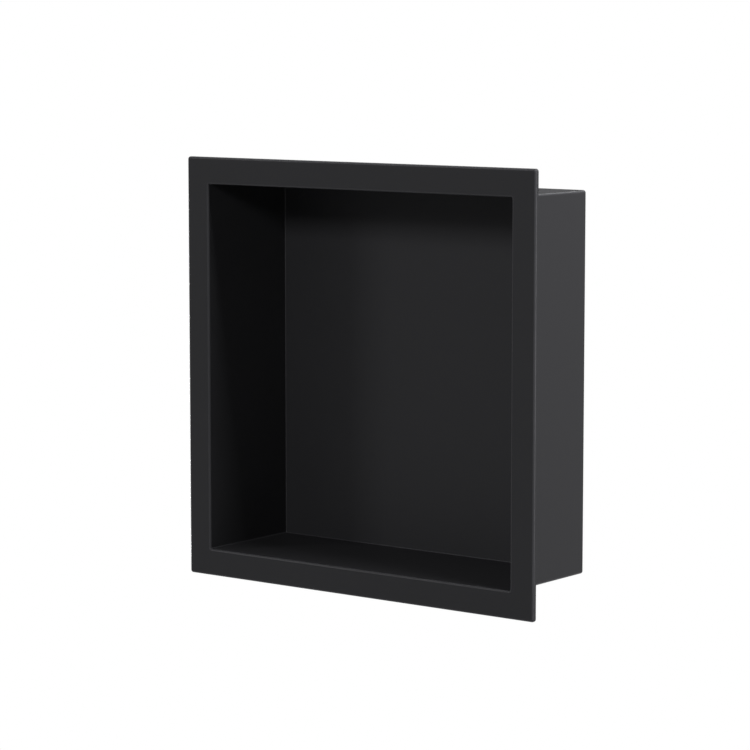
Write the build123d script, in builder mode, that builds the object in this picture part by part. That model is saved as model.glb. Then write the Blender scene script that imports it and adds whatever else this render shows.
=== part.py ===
"""Shower niche insert: a shallow steel box with a flange round its mouth, for a tiled wall.

The whole insert is one sheet. The back and four side walls are folded up from a cross-shaped blank, each
wall turns outwards at its mouth into the flange, and the flange's outer edge turns back into a short lip
that stands on the tiles. The four corner seams and the flange's four mitres are welded and ground, so the
sheet keeps one thickness round every fold and corner.

Frame, in millimetres: the origin is the middle of the opening, in the plane of the tiles, where the lip's
rim rests. +X is to the right for someone facing the niche, +Y goes into the wall and +Z is up.
"""

import os

from build123d import *

# Driving dimensions
opening_width = 300.0  # clear width between the side walls
opening_height = 300.0  # clear height between the floor and the roof
overall_depth = 100.0  # front of the flange to the outside of the back
flange_width = 22.0  # edge of the opening to the flange's outer edge
lip_straight = 1.7  # straight part of the lip, from its fold to its rim
sheet = 1.2  # thickness of the steel
fold_inside = 0.6  # inside radius of every fold
weld_round = 0.4  # a welded corner is this much rounder than a fold

# Radii: both faces of the sheet share one centre at every fold and every welded corner
fold_outside = fold_inside + sheet
corner_inside = fold_inside + weld_round
corner_outside = corner_inside + sheet

# Outside of the box, outside of the flange and inside of the lip
box_width = opening_width + 2 * sheet
box_height = opening_height + 2 * sheet
flange_outer_width = opening_width + 2 * flange_width
flange_outer_height = opening_height + 2 * flange_width
lip_depth = fold_outside + lip_straight
lip_inner_width = flange_outer_width - 2 * sheet
lip_inner_height = flange_outer_height - 2 * sheet

# A sketch on these planes faces the room, so a negative extrusion goes into the wall
tile_plane = Plane.XZ
front_plane = tile_plane.offset(lip_depth)


with BuildPart() as niche_body:
    # Outside of the box, with the four folds between its back and its walls
    with BuildSketch(front_plane):
        RectangleRounded(box_width, box_height, corner_outside)
    extrude(amount=-overall_depth)
    back_outside = niche_body.faces().sort_by(Axis.Y)[-1]
    fillet(back_outside.edges(), fold_outside)

    # Outside of the flange, with the four folds between its face and its lip
    with BuildSketch(front_plane):
        RectangleRounded(flange_outer_width, flange_outer_height, corner_outside)
    extrude(amount=-lip_depth)
    flange_face = niche_body.faces().sort_by(Axis.Y)[0]
    fillet(flange_face.edges(), fold_outside)

    # Space behind the flange, between the lip and the box, open to the wall
    with BuildSketch(tile_plane):
        RectangleRounded(lip_inner_width, lip_inner_height, corner_inside)
        RectangleRounded(box_width, box_height, corner_outside, mode=Mode.SUBTRACT)
    extrude(amount=lip_depth - sheet, mode=Mode.SUBTRACT)
    flange_back = niche_body.faces(Select.LAST).sort_by(Axis.Y)[0]
    fillet(flange_back.edges(), fold_inside)

    # Hollow of the niche, with the folds round its back and the folds out to the flange
    with BuildSketch(front_plane):
        RectangleRounded(opening_width, opening_height, corner_inside)
    extrude(amount=sheet - overall_depth, mode=Mode.SUBTRACT)
    back_inside = niche_body.faces(Select.LAST).sort_by(Axis.Y)[-1]
    fillet(back_inside.edges(), fold_inside)
    mouth = niche_body.faces().sort_by(Axis.Y)[0].inner_wires()[0]
    fillet(mouth.edges(), fold_outside)

niche_body.part.label = "niche_body"

os.makedirs("parts", exist_ok=True)
export_step(niche_body.part, "parts/niche_body.step")
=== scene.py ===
import math

import bpy
from mathutils import Matrix, Vector


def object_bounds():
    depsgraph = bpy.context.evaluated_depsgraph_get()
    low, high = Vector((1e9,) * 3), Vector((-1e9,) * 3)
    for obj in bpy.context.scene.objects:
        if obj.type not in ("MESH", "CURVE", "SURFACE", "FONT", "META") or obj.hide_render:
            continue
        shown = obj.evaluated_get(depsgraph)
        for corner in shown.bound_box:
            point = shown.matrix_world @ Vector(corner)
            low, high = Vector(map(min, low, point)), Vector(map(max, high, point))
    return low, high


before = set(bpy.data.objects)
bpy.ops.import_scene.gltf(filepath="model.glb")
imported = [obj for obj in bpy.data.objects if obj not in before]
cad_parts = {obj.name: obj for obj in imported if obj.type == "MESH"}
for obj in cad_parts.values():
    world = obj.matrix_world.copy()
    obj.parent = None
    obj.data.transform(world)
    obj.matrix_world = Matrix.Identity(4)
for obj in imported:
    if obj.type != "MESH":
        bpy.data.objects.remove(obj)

cad_low, cad_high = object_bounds()

# Camera: where it stands, in metres, and where it points, in degrees
CAMERA_PLACE = Vector((1.4209, -1.8293, 0.2806))
CAMERA_YAW = 37.483
CAMERA_PITCH = -6.794
LENS_MM = 142.17
SENSOR_MM = 36.0

# Powder coat: its shades, a painted highlight on the round folds, its gloss on flat faces and round folds,
# and its grain, ripple and clouds in metres
COAT_DARK = (0.0205, 0.0205, 0.0222, 1.0)
COAT_LIGHT = (0.0235, 0.0235, 0.0254, 1.0)
# Painted highlight: a paler colour on the folds and welded corners that stands in for the light lines lamps
# make there
FOLD_PAINTED_HIGHLIGHT = (0.038, 0.038, 0.0411, 1.0)
COAT_SPECULAR = 0.08
FLAT_ROUGHNESS = (0.47, 0.53)
FOLD_ROUGHNESS = 0.3
GRAIN_SIZE = 0.0005
GRAIN_HEIGHT = 0.000012
RIPPLE_SIZE = 0.0025
RIPPLE_HEIGHT = 0.00001
CLOUD_SIZE = 0.05
CLOUD_SHARE = 0.5

# A face is flat where its normal's largest part is above the first value, and a fold below the second
FLAT_NORMAL = 0.995
FOLD_NORMAL = 0.97

# Floor, in metres: its depth under the flange, its reach, its colour, and where it fades into white
FLOOR_DROP = 0.45
FLOOR_HALF = 12.0
FLOOR_GREY = (0.4, 0.4, 0.4, 1.0)
FLOOR_GLOW = 0.6
FADE_START = 0.5
FADE_END = 1.2

# Background: white for the camera; in reflections the walls are white up to one height of the direction seen
# and darken to the ceiling at another
WHITE = (1.0, 1.0, 1.0, 1.0)
BACKGROUND = 1.0
OVERHEAD = 0.25
WALL_TOP = 0.05
CEILING = 0.28


def add_node(tree, kind, **settings):
    """A new node with its properties and its sockets' values set by name."""
    node = tree.nodes.new(kind)
    for name, value in settings.items():
        socket = name.replace("_", " ")
        if socket in node.inputs:
            node.inputs[socket].default_value = value
        else:
            setattr(node, name, value)
    return node


def make_camera():
    """A long lens in front of the niche, to its right and a little above."""
    data = bpy.data.cameras.new("camera")
    data.lens = LENS_MM
    data.sensor_width = SENSOR_MM
    camera = bpy.data.objects.new("camera", data)
    bpy.context.scene.collection.objects.link(camera)
    turn = Matrix.Rotation(math.radians(CAMERA_YAW), 4, "Z")
    tilt = Matrix.Rotation(math.radians(90.0 + CAMERA_PITCH), 4, "X")
    camera.matrix_world = Matrix.Translation(CAMERA_PLACE) @ turn @ tilt
    bpy.context.scene.camera = camera


def fold_share(tree, place):
    """A socket that is 0 on the flat faces and 1 round the folds and the welded corners."""
    size = add_node(tree, "ShaderNodeVectorMath", operation="ABSOLUTE")
    tree.links.new(place.outputs["Normal"], size.inputs[0])
    parts = add_node(tree, "ShaderNodeSeparateXYZ")
    tree.links.new(size.outputs["Vector"], parts.inputs["Vector"])
    largest = parts.outputs["X"]
    for name in ("Y", "Z"):
        larger = add_node(tree, "ShaderNodeMath", operation="MAXIMUM")
        tree.links.new(largest, larger.inputs[0])
        tree.links.new(parts.outputs[name], larger.inputs[1])
        largest = larger.outputs[0]
    share = add_node(tree, "ShaderNodeMapRange", From_Min=FLAT_NORMAL, From_Max=FOLD_NORMAL)
    tree.links.new(largest, share.inputs["Value"])
    return share.outputs["Result"]


def coated_steel():
    """Matt black powder coat: a fine grain over a faint ripple, smoother at the folds, with a highlight
    painted paler along them.
    """
    material = bpy.data.materials.new("coated_steel")
    material.use_nodes = True
    tree = material.node_tree
    shader = tree.nodes["Principled BSDF"]
    shader.inputs["Specular IOR Level"].default_value = COAT_SPECULAR

    place = add_node(tree, "ShaderNodeTexCoord")
    grain = add_node(tree, "ShaderNodeTexNoise", Scale=1.0 / GRAIN_SIZE, Detail=1.0)
    ripple = add_node(tree, "ShaderNodeTexNoise", Scale=1.0 / RIPPLE_SIZE, Detail=1.0)
    cloud = add_node(tree, "ShaderNodeTexNoise", Scale=1.0 / CLOUD_SIZE, Detail=3.0)
    for noise in (grain, ripple, cloud):
        tree.links.new(place.outputs["Object"], noise.inputs["Vector"])
    fold = fold_share(tree, place)

    speckle = add_node(tree, "ShaderNodeMix", data_type="FLOAT")
    speckle.inputs["Factor"].default_value = CLOUD_SHARE
    tree.links.new(grain.outputs["Fac"], speckle.inputs["A"])
    tree.links.new(cloud.outputs["Fac"], speckle.inputs["B"])
    flat_colour = add_node(tree, "ShaderNodeMixRGB", Color1=COAT_DARK, Color2=COAT_LIGHT)
    tree.links.new(speckle.outputs["Result"], flat_colour.inputs["Fac"])
    # Painted highlight: the folds and welded corners get a paler colour in place of the light lines that
    # lamps put along them
    coat_and_painted_highlight = add_node(tree, "ShaderNodeMixRGB", Color2=FOLD_PAINTED_HIGHLIGHT)
    tree.links.new(fold, coat_and_painted_highlight.inputs["Fac"])
    tree.links.new(flat_colour.outputs["Color"], coat_and_painted_highlight.inputs["Color1"])
    tree.links.new(coat_and_painted_highlight.outputs["Color"], shader.inputs["Base Color"])

    flat_gloss = add_node(tree, "ShaderNodeMapRange", To_Min=FLAT_ROUGHNESS[0], To_Max=FLAT_ROUGHNESS[1])
    tree.links.new(cloud.outputs["Fac"], flat_gloss.inputs["Value"])
    gloss = add_node(tree, "ShaderNodeMix", data_type="FLOAT")
    gloss.inputs["B"].default_value = FOLD_ROUGHNESS
    tree.links.new(fold, gloss.inputs["Factor"])
    tree.links.new(flat_gloss.outputs["Result"], gloss.inputs["A"])
    tree.links.new(gloss.outputs["Result"], shader.inputs["Roughness"])

    waves = add_node(tree, "ShaderNodeBump", Distance=RIPPLE_HEIGHT)
    tree.links.new(ripple.outputs["Fac"], waves.inputs["Height"])
    grains = add_node(tree, "ShaderNodeBump", Distance=GRAIN_HEIGHT)
    tree.links.new(grain.outputs["Fac"], grains.inputs["Height"])
    tree.links.new(waves.outputs["Normal"], grains.inputs["Normal"])
    tree.links.new(grains.outputs["Normal"], shader.inputs["Normal"])
    return material


def seen_directly(tree):
    """A socket that is 1 for what the camera, reflections and glass show, and 0 for light that falls."""
    path = add_node(tree, "ShaderNodeLightPath")
    total = path.outputs["Is Camera Ray"]
    for name in ("Is Glossy Ray", "Is Transmission Ray"):
        either = add_node(tree, "ShaderNodeMath", operation="MAXIMUM")
        tree.links.new(total, either.inputs[0])
        tree.links.new(path.outputs[name], either.inputs[1])
        total = either.outputs[0]
    return total


def floor_material():
    """A plain floor that keeps the object's shadow and fades into the white background further off."""
    material = bpy.data.materials.new("floor")
    material.use_nodes = True
    tree = material.node_tree
    tree.nodes.clear()
    seen = seen_directly(tree)

    glow_strength = add_node(tree, "ShaderNodeMath", operation="MULTIPLY")
    glow_strength.inputs[1].default_value = FLOOR_GLOW
    tree.links.new(seen, glow_strength.inputs[0])
    glow = add_node(tree, "ShaderNodeEmission", Color=WHITE)
    tree.links.new(glow_strength.outputs[0], glow.inputs["Strength"])
    lit = add_node(tree, "ShaderNodeBsdfDiffuse", Color=FLOOR_GREY)
    near = add_node(tree, "ShaderNodeAddShader")
    tree.links.new(lit.outputs[0], near.inputs[0])
    tree.links.new(glow.outputs[0], near.inputs[1])

    place = add_node(tree, "ShaderNodeTexCoord")
    reach = add_node(tree, "ShaderNodeVectorMath", operation="LENGTH")
    tree.links.new(place.outputs["Object"], reach.inputs[0])
    fade = add_node(tree, "ShaderNodeMapRange", interpolation_type="SMOOTHSTEP",
                    From_Min=FADE_START, From_Max=FADE_END)
    tree.links.new(reach.outputs["Value"], fade.inputs["Value"])
    share = add_node(tree, "ShaderNodeMath", operation="MULTIPLY")
    tree.links.new(fade.outputs["Result"], share.inputs[0])
    tree.links.new(seen, share.inputs[1])

    far = add_node(tree, "ShaderNodeEmission", Color=WHITE, Strength=BACKGROUND)
    blend = add_node(tree, "ShaderNodeMixShader")
    tree.links.new(share.outputs[0], blend.inputs["Fac"])
    tree.links.new(near.outputs[0], blend.inputs[1])
    tree.links.new(far.outputs[0], blend.inputs[2])
    output = add_node(tree, "ShaderNodeOutputMaterial")
    tree.links.new(blend.outputs[0], output.inputs["Surface"])
    return material


def make_floor():
    """A flat square under the niche, well below it."""
    mesh = bpy.data.meshes.new("floor")
    corners = [(x, y, 0.0) for x, y in ((-1, -1), (1, -1), (1, 1), (-1, 1))]
    mesh.from_pydata([Vector(corner) * FLOOR_HALF for corner in corners], [], [(0, 1, 2, 3)])
    mesh.materials.append(floor_material())
    floor = bpy.data.objects.new("floor", mesh)
    floor.location.z = cad_low.z - FLOOR_DROP
    bpy.context.scene.collection.objects.link(floor)


def make_world():
    """White for the camera, white walls under a greyer ceiling in reflections, and no other light."""
    world = bpy.data.worlds.new("studio")
    bpy.context.scene.world = world
    world.use_nodes = True
    tree = world.node_tree
    place = add_node(tree, "ShaderNodeTexCoord")
    height = add_node(tree, "ShaderNodeSeparateXYZ")
    tree.links.new(place.outputs["Generated"], height.inputs["Vector"])
    room = add_node(tree, "ShaderNodeMapRange", interpolation_type="SMOOTHSTEP",
                    From_Min=WALL_TOP, From_Max=CEILING, To_Min=BACKGROUND, To_Max=OVERHEAD)
    tree.links.new(height.outputs["Z"], room.inputs["Value"])
    reflected = add_node(tree, "ShaderNodeMath", operation="MULTIPLY")
    tree.links.new(room.outputs["Result"], reflected.inputs[0])
    tree.links.new(seen_directly(tree), reflected.inputs[1])
    path = add_node(tree, "ShaderNodeLightPath")
    plain = add_node(tree, "ShaderNodeMath", operation="MULTIPLY")
    plain.inputs[1].default_value = BACKGROUND
    tree.links.new(path.outputs["Is Camera Ray"], plain.inputs[0])
    strength = add_node(tree, "ShaderNodeMath", operation="MAXIMUM")
    tree.links.new(reflected.outputs[0], strength.inputs[0])
    tree.links.new(plain.outputs[0], strength.inputs[1])
    background = tree.nodes["Background"]
    background.inputs["Color"].default_value = WHITE
    tree.links.new(strength.outputs[0], background.inputs["Strength"])


def soft_lamp(name, azimuth, elevation, distance, size, power):
    """A square lamp aimed at the middle of the niche; azimuth 0 is in front and 90 to the right."""
    data = bpy.data.lights.new(name, "AREA")
    data.shape = "SQUARE"
    data.size = size
    data.energy = power
    lamp = bpy.data.objects.new(name, data)
    bpy.context.scene.collection.objects.link(lamp)
    turn, rise = math.radians(azimuth), math.radians(elevation)
    away = Vector((math.sin(turn) * math.cos(rise), -math.cos(turn) * math.cos(rise), math.sin(rise)))
    lamp.location = away * distance
    lamp.rotation_euler = away.to_track_quat("Z", "Y").to_euler()


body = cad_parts["niche_body"]
body.material_slots[0].material = coated_steel()

make_camera()
make_floor()
make_world()
soft_lamp("right_high", azimuth=96.5, elevation=54.0, distance=1.1, size=0.4, power=17.0)
soft_lamp("right_low", azimuth=102.0, elevation=-4.0, distance=1.3, size=0.4, power=8.0)
soft_lamp("key", azimuth=13.0, elevation=22.8, distance=5.0, size=0.85, power=108.0)
soft_lamp("front_left", azimuth=-43.0, elevation=17.8, distance=5.0, size=1.1, power=48.0)
soft_lamp("left_high", azimuth=-79.0, elevation=52.0, distance=2.2, size=0.5, power=3.5)
soft_lamp("back_high", azimuth=171.0, elevation=38.0, distance=2.2, size=0.5, power=6.0)
soft_lamp("back_left", azimuth=225.0, elevation=-8.0, distance=2.2, size=0.6, power=25.0)

bpy.context.scene.view_settings.view_transform = "Standard"
